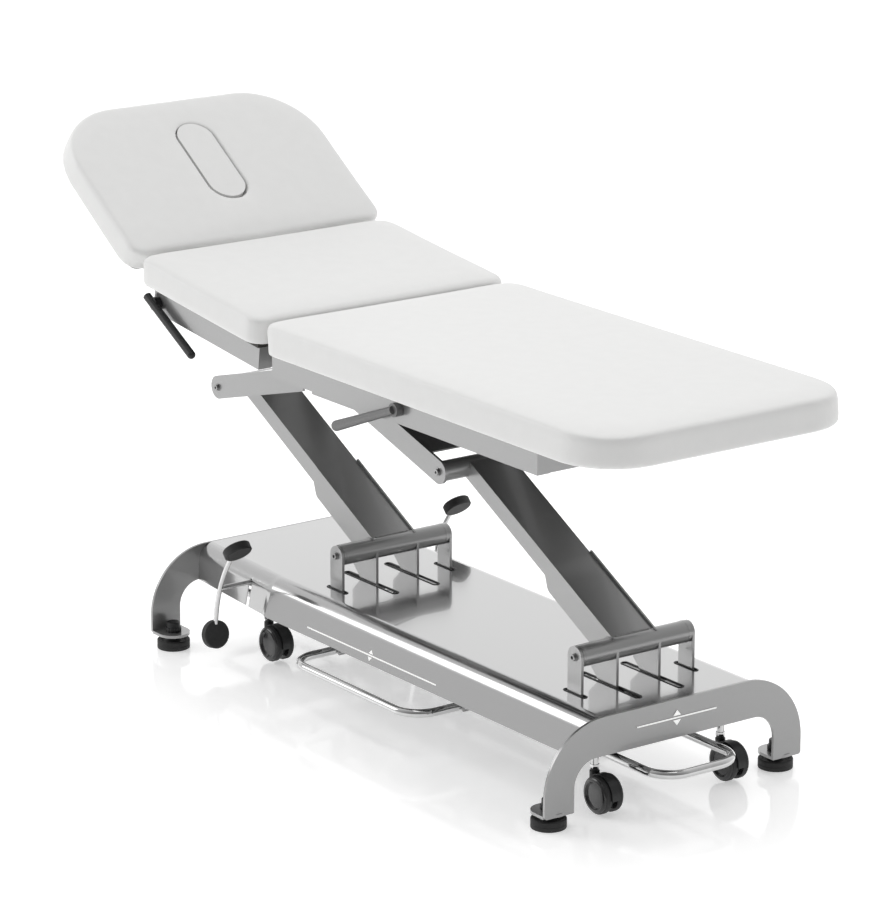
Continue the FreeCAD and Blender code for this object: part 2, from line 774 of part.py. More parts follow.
# Wheels and feet
def castor_housing(cx, cy):
    ax = cx + castor_trail
    z = castor_axle_z
    inner = castor_wheel_in - 1
    lip = castor_wheel_in + castor_hood_lip
    outer = rod_y(ax, z, cy - lip, cy + lip, castor_hood_r)
    for side in (-1, 1):
        y0 = cy + min(side * inner, side * (lip + 2))
        outer = outer.cut(rod_y(ax, z, y0, y0 + lip + 2 - inner, castor_hood_r - castor_hood_t))
    outer = outer.cut(box(ax - 60, ax + 60, cy - 40, cy + 40, z - 60, z - 4))
    web = rod_y(ax, z, cy - inner, cy + inner, castor_wheel_r - 9)
    boss = rod_z(cx, cy, z + 12, castor_hood_r + z - 1, 10)
    collar = rod_z(cx, cy, z + 30, z + castor_hood_r + 5, 8)
    nut = rod_z(cx, cy, z + castor_hood_r + 5, z + castor_hood_r + 14, 7)
    stem = rod_z(cx, cy, z + castor_hood_r, carriage_z + carriage_h - 1, castor_stem_r)
    neck = fuse([boss, collar])
    for side in (-1, 1):
        y0 = cy + min(side * inner, side * (inner + 40))
        neck = neck.cut(rod_y(ax, z, y0, y0 + 40, castor_hood_r - castor_hood_t))
    whole = fuse([outer, web, neck, nut, stem])
    return whole.cut(rod_y(ax, z, cy - 40, cy + 40, castor_axle_r + run_gap))


def castor_wheels(cx, cy):
    ax = cx + castor_trail
    z = castor_axle_z
    r = castor_wheel_r
    a = castor_wheel_in
    b = castor_wheel_in + castor_wheel_w
    profile = [(a, 0), (a, r - 2), (a + 2, r), (b - 7, r), (b - 2, r - 3), (b, r - 9), (b, 0)]
    points = [V(ax, cy + y, z + h) for y, h in profile]
    face = Part.Face(Part.makePolygon(points + [points[0]]))
    wheel = face.revolve(V(ax, cy, z), V(0, 1, 0), 360)
    other = wheel.mirror(V(ax, cy, z), V(0, 1, 0))
    axle = rod_y(ax, z, cy - a - 1, cy + a + 1, castor_axle_r)
    return fuse([wheel, other, axle])


def castor_carriage(sign, castor_x):
    bar = box(castor_x - carriage_half_x, castor_x + carriage_half_x, -carriage_half_y, carriage_half_y,
              carriage_z, carriage_z + carriage_h)
    pieces = [bar.makeFillet(4, [e for e in bar.Edges if e.BoundBox.YLength > 100])]
    gx = castor_x + sign * guide_out
    for side in (-1, 1):
        pieces.append(rod_z(gx, side * guide_y, carriage_z + 4, rail_z + 38, guide_r))
        if sign < 0:
            px = pedal_x + pedal_crank
            y0 = side * 60 - 3
            tab = box(px - 11, px + 11, y0, y0 + 6, carriage_z + 10, pedal_z + 12)
            slot = box(px - 9, px + 6, y0 - 1, y0 + 7, pedal_z - 5.4, pedal_z + 5.4)
            foot = box(castor_x, px + 11, y0, y0 + 6, carriage_z + 10, carriage_z + carriage_h + 4)
            pieces.append(tab.cut(slot))
            pieces.append(foot)
    whole = fuse(pieces)
    for side in (-1, 1):
        whole = whole.cut(rod_z(castor_x, side * castor_y, carriage_z - 1, carriage_z + carriage_h + 1,
                                castor_stem_r + run_gap))
    return whole


def foot_pad(x, y):
    r = pad_r
    profile = [(0, 0), (r - 1, 0), (r, 2), (r, pad_h - 4), (r - 3, pad_h - 2), (r - 7, pad_h - 2)]
    profile += [(r - 10, pad_h - 6), (18, pad_h - 6), (14, pad_h), (0, pad_h)]
    points = [V(x + a, y, h) for a, h in profile]
    face = Part.Face(Part.makePolygon(points + [points[0]]))
    whole = face.revolve(V(x, y, 0), V(0, 0, 1), 360)
    return whole.cut(rod_z(x, y, 8, pad_h + 1, screw_r))


def foot_screw(x, y):
    z = plate_foot_z + plate_t + 0.3
    stem = rod_z(x, y, 8, z + knob_h + 3, screw_r)
    low = rod_z(x, y, z, z + knob_h * 0.45, knob_r)
    high = rod_z(x, y, z + knob_h * 0.45, z + knob_h, knob_r - 3)
    nut = rod_z(x, y, pad_h, pad_h + 4, 10)
    return fuse([stem, low, high, nut])


# Bent bars
def bent_tube(points, bend, r):
    edges = []
    last = points[0]
    for i in range(1, len(points) - 1):
        p = points[i]
        u = points[i - 1].sub(p)
        w = points[i + 1].sub(p)
        u.normalize()
        w.normalize()
        half = u.getAngle(w) / 2
        reach = bend / math.tan(half)
        start = p + u * reach
        end = p + w * reach
        middle = u + w
        middle.normalize()
        knee = p + middle * (bend / math.sin(half) - bend)
        edges.append(Part.makeLine(last, start))
        edges.append(Part.Arc(start, knee, end).toShape())
        last = end
    edges.append(Part.makeLine(last, points[-1]))
    path = Part.Wire(edges)
    direction = points[1].sub(points[0])
    ring = Part.Wire(Part.makeCircle(r, points[0], direction))
    return path.makePipeShell([ring], True, True)


def side_bar(side):
    h = side_bar_half
    z = foot_bar_z
    y0 = side * side_bar_pivot_y
    y1 = side * side_bar_y
    points = [V(-h, y0, z), V(-h, y1, z), V(h, y1, z), V(h, y0, z)]
    whole = bent_tube(points, bar_bend_r, foot_bar_r)
    pins = [rod(V(s * h - foot_bar_r - 6, y0, z), V(s * h + foot_bar_r + 6, y0, z), bar_pin_r) for s in (-1, 1)]
    caps = [rod(V(s * h, y0, z), V(s * h, y0 - side * foot_bar_r, z), foot_bar_r) for s in (-1, 1)]
    return fuse([whole] + pins + caps)


def end_bar(sign):
    h = end_bar_half
    z = foot_bar_z
    x0 = end_bar_pivot_foot_x if sign > 0 else end_bar_pivot_head_x
    x1 = sign * end_bar_x
    points = [V(x0, -h, z), V(x1, -h, z), V(x1, h, z), V(x0, h, z)]
    whole = bent_tube(points, bar_bend_r, foot_bar_r)
    pins = [rod_y(x0, z, s * h - foot_bar_r - 6, s * h + foot_bar_r + 6, bar_pin_r) for s in (-1, 1)]
    caps = [rod(V(x0, s * h, z), V(x0 - sign * foot_bar_r, s * h, z), foot_bar_r) for s in (-1, 1)]
    return fuse([whole] + pins + caps)


# Pedals: one cross shaft, a bow on each end, two pads on each bow
low_pad = V(pedal_x - 21, 0, pedal_z - 107)
high_pad = V(pedal_x + 67, 0, pedal_z + 99)
low_axis = V(0.985, 0, 0.17)
high_axis = V(-0.67, 0, 0.742)


def pedal_shaft():
    shaft = rod_y(pedal_x, pedal_z, -pedal_y, pedal_y, pedal_rod_r)
    pieces = [shaft]
    bow_mid = V(pedal_x, 0, pedal_z)
    low_end = low_pad + V(2, 0, pedal_pad_r - 6)
    high_end = high_pad + V(-0.742, 0, -0.67) * (pedal_pad_r - 6)
    for side in (-1, 1):
        off = V(0, side * pedal_y, 0)
        arc = Part.Arc(low_end + off, bow_mid + off, high_end + off).toShape()
        path = Part.Wire([arc])
        tangent = arc.tangentAt(arc.FirstParameter)
        ring = Part.Wire(Part.makeCircle(pedal_rod_r, arc.valueAt(arc.FirstParameter), tangent))
        pieces.append(path.makePipeShell([ring], True, True))
        y = side * 60
        pin_x = pedal_x + pedal_crank
        web = box(pedal_x, pin_x, y + 6 * side - 2.5, y + 6 * side + 2.5, pedal_z - 5, pedal_z + 5)
        pieces.append(web)
        pieces.append(rod_y(pin_x, pedal_z, min(y - side * 5, y + side * 8), max(y - side * 5, y + side * 8), 5.0))
    return fuse(pieces)


def pedal_pad(centre, axis, side):
    c = centre + V(0, side * pedal_y, 0)
    base = c - axis * (pedal_pad_t / 2)
    disc = Part.makeCylinder(pedal_pad_r, pedal_pad_t, base, axis)
    return disc.makeChamfer(2.5, [e for e in disc.Edges if e.Length > 150])


# Every piece by name
shapes = {}
shapes["base_cover"] = base_cover()
shapes["base_frame"] = base_frame()
shapes["end_plate_head"] = end_plate(-1)
shapes["end_plate_foot"] = end_plate(1)
shapes["control_box"] = control_box()
shapes["drive_housing"] = drive_housing()
shapes["drive_rod"] = drive_rod()
sides = (("near", -1), ("far", 1))
ends = (("head", -1, castor_head_x, pivot_head_x), ("foot", 1, castor_foot_x, pivot_foot_x))
for end_name, sign, castor_x, pivot_x in ends:
    shapes["castor_carriage_" + end_name] = castor_carriage(sign, castor_x)
    shapes["end_bar_" + end_name] = end_bar(sign)
    open_bore = run_gap if sign < 0 else free_gap
    shapes["arm_channel_" + end_name] = arm_to_place(arm_channel_flat(pivot_pin_r + open_bore), pivot_x)
    shapes["arm_doubler_" + end_name] = arm_to_place(doubler_flat(), pivot_x)
    shapes["arm_tube_" + end_name] = arm_to_place(base_tube_flat(), pivot_x)
    for side_name, side in sides:
        tag = end_name + "_" + side_name
        shapes["pivot_post_" + tag] = pivot_post(pivot_x, side).fuse(base_bolt(pivot_x, side)).removeSplitter()
        shapes["castor_fork_" + tag] = castor_housing(castor_x, side * castor_y)
        shapes["castor_wheels_" + tag] = castor_wheels(castor_x, side * castor_y)
        shapes["foot_pad_" + tag] = foot_pad(sign * foot_x, side * foot_y)
        shapes["foot_screw_" + tag] = foot_screw(sign * foot_x, side * foot_y)
for side_name, side in sides:
    shapes["side_bar_" + side_name] = side_bar(side)
    shapes["pedal_pad_low_" + side_name] = pedal_pad(low_pad, low_axis, side)
    shapes["pedal_pad_high_" + side_name] = pedal_pad(high_pad, high_axis, side)
bow = pedal_shaft()
for side_name, side in sides:
    bow = bow.cut(shapes["pedal_pad_low_" + side_name]).cut(shapes["pedal_pad_high_" + side_name])
shapes["pedal_shaft"] = bow
bolts = [top_bolts(top_head_x), top_bolts(top_foot_x)]
shapes["top_bolts_far"] = Part.makeCompound(bolts)
shapes["top_bolts_near"] = Part.makeCompound([mirrored(b) for b in bolts])
shapes["link_beam"] = link_beam()
shapes["seat_frame"] = seat_frame()
shapes["seat_cushion"] = seat_cushion()
shapes["mid_frame"] = mid_to_place(mid_frame_flat())
shapes["mid_board"] = mid_to_place(mid_board_flat())
shapes["mid_cushion"] = mid_to_place(mid_cushion_flat())
shapes["head_frame"] = head_to_place(head_frame_flat())
shapes["head_board"] = head_to_place(head_board_flat())
shapes["head_cushion"] = head_to_place(head_cushion_flat())
shapes["face_plug"] = head_to_place(head_plug_flat())
shapes["head_handles"] = mid_to_place(handle_pair(head_shaft_x, head_shaft_z, lever_deg,
                                                 lever_len, lever_back, lever_r, lever_r))
shapes["seat_handles"] = handle_pair(seat_lever_x, seat_lever_z, seat_lever_deg, -seat_lever_len, 0,
                                     seat_lever_root_r, seat_lever_tip_r)

# Stand the couch on the bottom centre of its envelope
low_x = min(s.BoundBox.XMin for s in shapes.values())
high_x = max(s.BoundBox.XMax for s in shapes.values())
shift = V(-(low_x + high_x) / 2, 0, 0)
os.makedirs("parts", exist_ok=True)
for name, shape in shapes.items():
    placed = shape.copy()
    placed.translate(shift)
    placed.exportStep("parts/" + name + ".step")
print("pieces", len(shapes), "shift", round(shift.x, 3))
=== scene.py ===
import bpy
import bmesh
import json
import math
import numpy
from mathutils import Matrix, Vector


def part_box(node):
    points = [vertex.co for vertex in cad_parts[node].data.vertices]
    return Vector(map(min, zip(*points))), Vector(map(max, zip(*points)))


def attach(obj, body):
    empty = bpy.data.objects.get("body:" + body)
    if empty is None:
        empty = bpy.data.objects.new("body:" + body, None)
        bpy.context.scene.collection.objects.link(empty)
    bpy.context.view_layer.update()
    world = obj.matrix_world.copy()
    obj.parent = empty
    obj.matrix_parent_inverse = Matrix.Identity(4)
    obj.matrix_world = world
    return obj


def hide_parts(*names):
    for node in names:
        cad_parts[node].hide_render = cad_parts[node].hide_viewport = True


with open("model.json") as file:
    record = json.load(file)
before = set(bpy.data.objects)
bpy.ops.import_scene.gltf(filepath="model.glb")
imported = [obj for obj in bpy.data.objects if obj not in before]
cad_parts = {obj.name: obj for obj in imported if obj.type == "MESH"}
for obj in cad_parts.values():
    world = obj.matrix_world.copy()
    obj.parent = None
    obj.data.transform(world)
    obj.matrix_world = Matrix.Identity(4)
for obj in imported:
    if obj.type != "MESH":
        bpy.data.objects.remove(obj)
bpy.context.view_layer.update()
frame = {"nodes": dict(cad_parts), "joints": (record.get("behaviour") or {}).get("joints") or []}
nodes = frame["nodes"]

# Welded frame of the base, arms and top: folded and cut steel sheet and
# square tube, powder coated in one silver grey after welding. The coat is
# smooth enough to mirror the arms; its metal flakes are a fraction of a mm.


def linear(code):
    parts = [int(code[i:i + 2], 16) / 255 for i in (1, 3, 5)]
    return tuple(c / 12.92 if c <= 0.04045 else ((c + 0.055) / 1.055) ** 2.4 for c in parts) + (1.0,)


def add(tree, kind, values=None, links=None):
    item = tree.nodes.new(kind)
    for key, value in (values or {}).items():
        if isinstance(key, str) and hasattr(item, key):
            setattr(item, key, value)
        else:
            item.inputs[key].default_value = value
    for key, (source, socket) in (links or {}).items():
        tree.links.new(source.outputs[socket], item.inputs[key])
    return item


def material(name, colour, roughness, values=None):
    mat = bpy.data.materials.new(name)
    mat.use_nodes = True
    tree = mat.node_tree
    shader = tree.nodes["Principled BSDF"]
    shader.inputs["Base Color"].default_value = linear(colour)
    shader.inputs["Roughness"].default_value = roughness
    for key, value in (values or {}).items():
        shader.inputs[key].default_value = value
    return mat, tree, shader


def varied(tree, shader, first, second, size, spread=0.5):
    place = add(tree, "ShaderNodeTexCoord")
    cloud = add(tree, "ShaderNodeTexNoise", {"Scale": 1 / size, "Detail": 3.0}, {"Vector": (place, "Object")})
    ramp = add(tree, "ShaderNodeMapRange", {"From Min": 0.5 - spread / 2, "From Max": 0.5 + spread / 2},
               {"Value": (cloud, "Fac")})
    mix = add(tree, "ShaderNodeMix", {"data_type": "RGBA", 6: linear(first), 7: linear(second)},
              {0: (ramp, "Result")})
    tree.links.new(mix.outputs[2], shader.inputs["Base Color"])
    return place


def bumped(tree, shader, place, size, height, detail=2.0):
    grain = add(tree, "ShaderNodeTexNoise", {"Scale": 1 / size, "Detail": detail}, {"Vector": (place, "Object")})
    bump = add(tree, "ShaderNodeBump", {"Strength": 1.0, "Distance": height}, {"Height": (grain, "Fac")})
    tree.links.new(bump.outputs["Normal"], shader.inputs["Normal"])
    return bump


def dress(mat, *names):
    for name in names:
        mesh = nodes[name].data
        mesh.materials.clear()
        mesh.materials.append(mat)


def soften(width, *names):
    for name in names:
        bevel = nodes[name].modifiers.new("edge", "BEVEL")
        bevel.width = width
        bevel.segments = 2
        bevel.limit_method = "ANGLE"
        bevel.angle_limit = math.radians(35)
        bevel.harden_normals = True


coat, tree, shader = material("powder_coated_steel", "#9b9b9b", 0.30,
                              {"Metallic": 0.62, "Coat Weight": 0.6, "Coat Roughness": 0.06})
place = varied(tree, shader, "#969696", "#a3a3a3", 0.0006, 0.4)
bumped(tree, shader, place, 0.0011, 0.000012)
dress(coat, "base_frame", "end_plate_head", "end_plate_foot",
      "arm_channel_head", "arm_channel_foot", "arm_doubler_head", "arm_doubler_foot",
      "arm_tube_head", "arm_tube_foot", "link_beam", "seat_frame", "mid_frame", "head_frame",
      "castor_carriage_head", "castor_carriage_foot",
      "pivot_post_head_near", "pivot_post_head_far", "pivot_post_foot_near", "pivot_post_foot_far")

# Cover over the base: one folded sheet, coated like the rest and polished
# clear, so its flat top mirrors whatever stands above it.
gloss, tree, shader = material("lacquered_cover_sheet", "#b2b2b2", 0.17,
                               {"Metallic": 0.85, "Coat Weight": 1.0, "Coat Roughness": 0.02})
place = varied(tree, shader, "#adadad", "#b9b9b9", 0.0006, 0.4)
bumped(tree, shader, place, 0.004, 0.000004)
dress(gloss, "base_cover")

# Bright parts: chrome-plated foot bars and pedal rods, zinc-plated drive rod
# and bolts; satin grey sleeves on the seat levers.
chrome, tree, shader = material("polished_chrome_plate", "#cacaca", 0.06, {"Metallic": 1.0})
place = varied(tree, shader, "#c5c5c5", "#d3d3d3", 0.012, 0.8)
bumped(tree, shader, place, 0.02, 0.00002)
dress(chrome, "end_bar_head", "end_bar_foot", "side_bar_near", "side_bar_far", "pedal_shaft")
zinc, tree, shader = material("zinc_plated_steel", "#9c9c9c", 0.28, {"Metallic": 1.0})
place = varied(tree, shader, "#909090", "#ababab", 0.004, 0.7)
bumped(tree, shader, place, 0.0007, 0.00002)
dress(zinc, "drive_rod", "top_bolts_near", "top_bolts_far")
grip, tree, shader = material("satin_grey_lever_sleeve", "#6b6b6b", 0.33, {"Metallic": 0.55})
place = varied(tree, shader, "#656565", "#727272", 0.004, 0.7)
bumped(tree, shader, place, 0.0009, 0.00002)
dress(grip, "seat_handles")
alloy, tree, shader = material("die_cast_alloy", "#8a8d90", 0.45, {"Metallic": 0.9})
place = varied(tree, shader, "#84878a", "#929598", 0.003, 0.7)
bumped(tree, shader, place, 0.0009, 0.00008)
dress(alloy, "drive_housing")

# Moulded black plastic: knobs, castor hoods, control box and head levers,
# spark-eroded texture about half a millimetre across.
plastic, tree, shader = material("moulded_black_plastic", "#1b1c1d", 0.42)
place = varied(tree, shader, "#171819", "#222324", 0.004, 0.6)
bumped(tree, shader, place, 0.0005, 0.00004)
dress(plastic, "control_box", "head_handles",
      "foot_screw_head_near", "foot_screw_head_far", "foot_screw_foot_near", "foot_screw_foot_far",
      "castor_fork_head_near", "castor_fork_head_far", "castor_fork_foot_near", "castor_fork_foot_far")

# Rubber: pedal pads and the pads of the levelling feet; wheels are a harder
# black tread on the same tone.
rubber, tree, shader = material("moulded_rubber", "#222222", 0.62)
place = varied(tree, shader, "#1d1d1d", "#2a2a2a", 0.006, 0.7)
bumped(tree, shader, place, 0.0008, 0.00006)
dress(rubber, "pedal_pad_low_near", "pedal_pad_low_far", "pedal_pad_high_near", "pedal_pad_high_far",
      "foot_pad_head_near", "foot_pad_head_far", "foot_pad_foot_near", "foot_pad_foot_far",
      "castor_wheels_head_near", "castor_wheels_head_far", "castor_wheels_foot_near", "castor_wheels_foot_far")

# Cushions: foam on a board under white synthetic leather, drawn tight and
# stapled below. The cover pulls smooth on top and puckers finely down the
# sides near the corners; a black lining closes the underside.
hide, tree, shader = material("white_synthetic_leather", "#e8e8e7", 0.45, {"Sheen Weight": 0.12})
place = varied(tree, shader, "#e6e6e5", "#eaeae9", 0.03, 0.8)
side_mask = add(tree, "ShaderNodeAttribute", {"attribute_name": "pucker"})
stretch = add(tree, "ShaderNodeMapping", None, {"Vector": (place, "Object")})
stretch.inputs["Scale"].default_value = (1.0, 1.0, 0.12)
streak = add(tree, "ShaderNodeTexNoise", {"Scale": 1 / 0.006, "Detail": 2.0}, {"Vector": (stretch, "Vector")})
streak_bump = add(tree, "ShaderNodeBump", {"Strength": 0.5, "Distance": 0.0009},
                  {"Height": (streak, "Fac")})
tree.links.new(side_mask.outputs["Fac"], streak_bump.inputs["Strength"])
grain = add(tree, "ShaderNodeTexVoronoi", {"Scale": 1 / 0.0011}, {"Vector": (place, "Object")})
grain_bump = add(tree, "ShaderNodeBump", {"Strength": 0.35, "Distance": 0.00006},
                 {"Height": (grain, "Distance"), "Normal": (streak_bump, "Normal")})
tree.links.new(grain_bump.outputs["Normal"], shader.inputs["Normal"])
ply, tree, shader = material("dark_stained_plywood", "#2c2a28", 0.6)
place = varied(tree, shader, "#262422", "#35322f", 0.012, 0.8)
bumped(tree, shader, place, 0.002, 0.0001)
dress(ply, "mid_board", "head_board")
lining, tree, shader = material("black_underside_lining", "#2b2b2c", 0.9)
place = varied(tree, shader, "#242425", "#333334", 0.002, 0.8)
bumped(tree, shader, place, 0.0012, 0.0002)


def cushion(name, source, hinge, tilt, voxel, cap, grow_head, grow_foot, round_head, round_foot):
    """A cushion drawn level in its own frame; tilt turns it up about the hinge line.
    The foam is cut a few mm over size, so it grows towards its neighbours."""
    level = Matrix.Translation(hinge) @ Matrix.Rotation(-tilt, 4, "Y") @ Matrix.Translation(-hinge)
    mesh = nodes[source].data.copy()
    mesh.transform(level)
    pad = bpy.data.objects.new(name, mesh)
    bpy.context.scene.collection.objects.link(pad)
    remesh = pad.modifiers.new("remesh", "REMESH")
    remesh.mode = "VOXEL"
    remesh.voxel_size = voxel
    graph = bpy.context.evaluated_depsgraph_get()
    start = bpy.data.meshes.new_from_object(pad.evaluated_get(graph))
    pad.modifiers.clear()
    pad.data = start
    count = len(start.vertices)
    old = numpy.empty(count * 3)
    out = numpy.empty(count * 3)
    start.vertices.foreach_get("co", old)
    start.vertices.foreach_get("normal", out)
    old = old.reshape(-1, 3)
    out = out.reshape(-1, 3)
    low = old[:, 2].min()
    high = old[:, 2].max()
    head_end = old[:, 0].min()
    share = (old[:, 0:1] - head_end) / (old[:, 0].max() - head_end)
    tall = numpy.clip((old[:, 2:3] - low) / (high - low) * 2.2 - 0.7, 0, 1)
    old[:, 0:1] += tall * (share * grow_foot - (1 - share) * grow_head)
    inset = 0.0025
    old -= out * (inset * numpy.clip((old[:, 2:3] - low) / 0.01, 0, 1))
    start.vertices.foreach_set("co", old.ravel())
    start.update()
    held = pad.vertex_groups.new(name="held")
    held.add([int(i) for i in numpy.nonzero(old[:, 2] < low + 0.008)[0]], 1.0, "REPLACE")
    cloth = pad.modifiers.new("cloth", "CLOTH")
    cloth.settings.use_pressure = True
    cloth.settings.uniform_pressure_force = 4.0
    cloth.settings.vertex_group_mass = "held"
    cloth.settings.effector_weights.gravity = 0.0
    cloth.settings.quality = 3
    cloth.settings.bending_stiffness = 6.0
    for step in range(1, 15):
        bpy.context.scene.frame_set(step)
    graph = bpy.context.evaluated_depsgraph_get()
    puffed = bpy.data.meshes.new_from_object(pad.evaluated_get(graph))
    pad.modifiers.clear()
    pad.data = puffed
    bpy.context.scene.frame_set(1)
    done = pad.data
    new = numpy.empty(count * 3)
    done.vertices.foreach_get("co", new)
    new = new.reshape(-1, 3)
    move = new - old
    length = numpy.linalg.norm(move, axis=1, keepdims=True)
    move = move * numpy.minimum(1.0, cap / numpy.maximum(length, 1e-9))
    ends = numpy.empty(len(done.edges) * 2, dtype=int)
    done.edges.foreach_get("vertices", ends)
    one = ends[0::2]
    two = ends[1::2]
    valence = numpy.bincount(ends, minlength=count)
    for step in range(40):
        for axis in range(3):
            lane = move[:, axis]
            around = (numpy.bincount(one, lane[two], count) + numpy.bincount(two, lane[one], count)) / valence
            move[:, axis] = 0.5 * lane + 0.5 * around
    new = old + move
    done.vertices.foreach_set("co", new.ravel())
    done.update()
    facing = numpy.empty(count * 3)
    done.vertices.foreach_get("normal", facing)
    facing = facing.reshape(-1, 3)
    side = numpy.clip(1.0 - numpy.abs(facing[:, 2]) * 1.6, 0, 1)
    near_end = numpy.minimum(new[:, 0] - new[:, 0].min(), new[:, 0].max() - new[:, 0])
    near_side = new[:, 1].max() - numpy.abs(new[:, 1])
    corner = numpy.exp(-((near_end + near_side) / 0.16) ** 2)
    fade = numpy.clip(1.0 - (new[:, 2] - low) / (high - low) * 0.7, 0, 1)
    mask = done.attributes.new("pucker", "FLOAT", "POINT")
    mask.data.foreach_set("value", side * fade * (0.25 + 0.75 * corner))
    done.materials.clear()
    done.materials.append(hide)
    done.materials.append(lining)
    x_low = new[:, 0].min()
    x_high = new[:, 0].max()
    y_high = new[:, 1].max()
    for face in done.polygons:
        face.use_smooth = True
        if face.normal.z > -0.9 or face.center.z > low + 0.003:
            continue
        end = min(face.center.x - x_low, x_high - face.center.x)
        flank = y_high - abs(face.center.y)
        bend = round_head if face.center.x - x_low < x_high - face.center.x else round_foot
        inside = min(end, flank)
        if end < bend and flank < bend:
            inside = bend - math.hypot(bend - end, bend - flank)
        if inside > 0.026:
            face.material_index = 1
    done.transform(level.inverted())
    divide = pad.modifiers.new("finer", "SUBSURF")
    divide.levels = 1
    divide.render_levels = 1
    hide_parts(source)
    return pad


mid_joint = [j for j in frame["joints"] if j["name"] == "mid_tilt"][0]
head_joint = [j for j in frame["joints"] if j["name"] == "head_tilt"][0]
mid_hinge = Vector(mid_joint["pos_m"])
head_hinge = Vector(head_joint["pos_m"])
seat_pad = cushion("seat_pad", "seat_cushion", mid_hinge, 0.0, 0.008, 0.006, 0.008, 0.0, 0.042, 0.130)
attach(seat_pad, "top")
mid_pad = cushion("mid_pad", "mid_cushion", mid_hinge, math.radians(6.4), 0.007, 0.006, 0.005, 0.0, 0.042, 0.042)
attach(mid_pad, "mid")
head_pad = cushion("head_pad", "head_cushion", head_hinge, math.radians(33.5), 0.006, 0.005, 0.0, 0.005, 0.165, 0.042)
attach(head_pad, "head")
dress(hide, "face_plug")

soften(0.0008, "end_plate_head", "end_plate_foot", "seat_frame", "mid_frame", "link_beam")

# Castor wheels: twin black discs with a smooth domed face, a raised rim and
# a softer tread with a shallow groove; the axle end shows as a small cap.


def lathe(name, profile, centre, axis, mats, body, source=None, steps=72):
    """Turns (radius, height) pairs about an axis; each pair may name a material index."""
    turn = Vector(axis).to_track_quat("Z", "Y").to_matrix().to_4x4()
    turn.translation = centre
    verts = []
    faces = []
    tones = []
    for i in range(steps):
        angle = 2 * math.pi * i / steps
        for point in profile:
            verts.append(turn @ Vector((point[0] * math.cos(angle), point[0] * math.sin(angle), point[1])))
    count = len(profile)
    for i in range(steps):
        j = (i + 1) % steps
        for k in range(count - 1):
            faces.append((i * count + k, j * count + k, j * count + k + 1, i * count + k + 1))
            tones.append(profile[k][2] if len(profile[k]) > 2 else 0)
    mesh = bpy.data.meshes.new(name)
    mesh.from_pydata(verts, [], faces)
    for mat in mats:
        mesh.materials.append(mat)
    for face, tone in zip(mesh.polygons, tones):
        face.material_index = tone
        face.use_smooth = True
    work = bmesh.new()
    work.from_mesh(mesh)
    bmesh.ops.remove_doubles(work, verts=work.verts, dist=1e-6)
    bmesh.ops.recalc_face_normals(work, faces=work.faces)
    work.to_mesh(mesh)
    work.free()
    mesh.set_sharp_from_angle(angle=math.radians(32))
    piece = bpy.data.objects.new(name, mesh)
    bpy.context.scene.collection.objects.link(piece)
    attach(piece, body)
    if source:
        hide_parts(source)
    return piece


disc_black, tree, shader = material("glossy_black_nylon", "#141415", 0.22, {"Coat Weight": 0.3})
place = varied(tree, shader, "#121213", "#19191a", 0.008, 0.8)
bumped(tree, shader, place, 0.0012, 0.00002)
tread_black, tree, shader = material("black_polyurethane_tread", "#202021", 0.55)
place = varied(tree, shader, "#1c1c1d", "#29292a", 0.004, 0.8)
bumped(tree, shader, place, 0.0007, 0.00006)
for tag in ("head_near", "head_far", "foot_near", "foot_far"):
    low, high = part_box("castor_wheels_" + tag)
    centre = Vector([(a + b) / 2 for a, b in zip(low, high)])
    half = (high[1] - low[1]) / 2
    profile = [(0.0, half - 0.0028), (0.0120, half - 0.0030), (0.0200, half - 0.0036), (0.024, half - 0.0042),
               (0.0262, half - 0.002), (0.0275, half - 0.0005), (0.0315, half - 0.0008), (0.0345, half - 0.003),
               (0.0350, half - 0.0045, 1), (0.0368, half - 0.0055, 1), (0.0375, half - 0.0075, 1),
               (0.0375, half - 0.0100, 1), (0.0371, half - 0.0104, 1), (0.0375, half - 0.0108, 1),
               (0.0375, 0.0090, 1), (0.0365, 0.0072), (0.0335, 0.0066), (0.0040, 0.0066), (0.0, 0.0066)]
    near = lathe("castor_disc_a_" + tag, profile, centre, (0, 1, 0), [disc_black, tread_black],
                 "castor_wheels_" + tag, "castor_wheels_" + tag)
    far = lathe("castor_disc_b_" + tag, profile, centre, (0, -1, 0), [disc_black, tread_black],
                "castor_wheels_" + tag)
    axle = lathe("castor_axle_" + tag, [(0, -0.009), (0.0039, -0.009), (0.0039, 0.009), (0, 0.009)], centre,
                 (0, 1, 0), [zinc], "castor_wheels_" + tag)

# Castor stems: a chrome sleeve between the body of the castor and the
# carriage, with a six-sided nut at its foot.
for tag in ("head_near", "head_far", "foot_near", "foot_far"):
    swivel = [j for j in frame["joints"] if j["name"] == "swivel_" + tag][0]
    low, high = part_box("castor_fork_" + tag)
    stem = Vector((swivel["pos_m"][0], swivel["pos_m"][1], 0))
    sleeve = [(0.0066, 0.094), (0.0074, 0.0945), (0.0074, 0.1300), (0.0066, 0.1308)]
    lathe("castor_sleeve_" + tag, sleeve, stem, (0, 0, 1), [chrome], "castor_fork_" + tag)
    lathe("castor_nut_" + tag, [(0.0066, 0.0872), (0.0090, 0.0872), (0.0093, 0.0880), (0.0093, 0.0936),
                                (0.0090, 0.0944), (0.0066, 0.0944)], stem, (0, 0, 1), [chrome],
          "castor_fork_" + tag, steps=6)

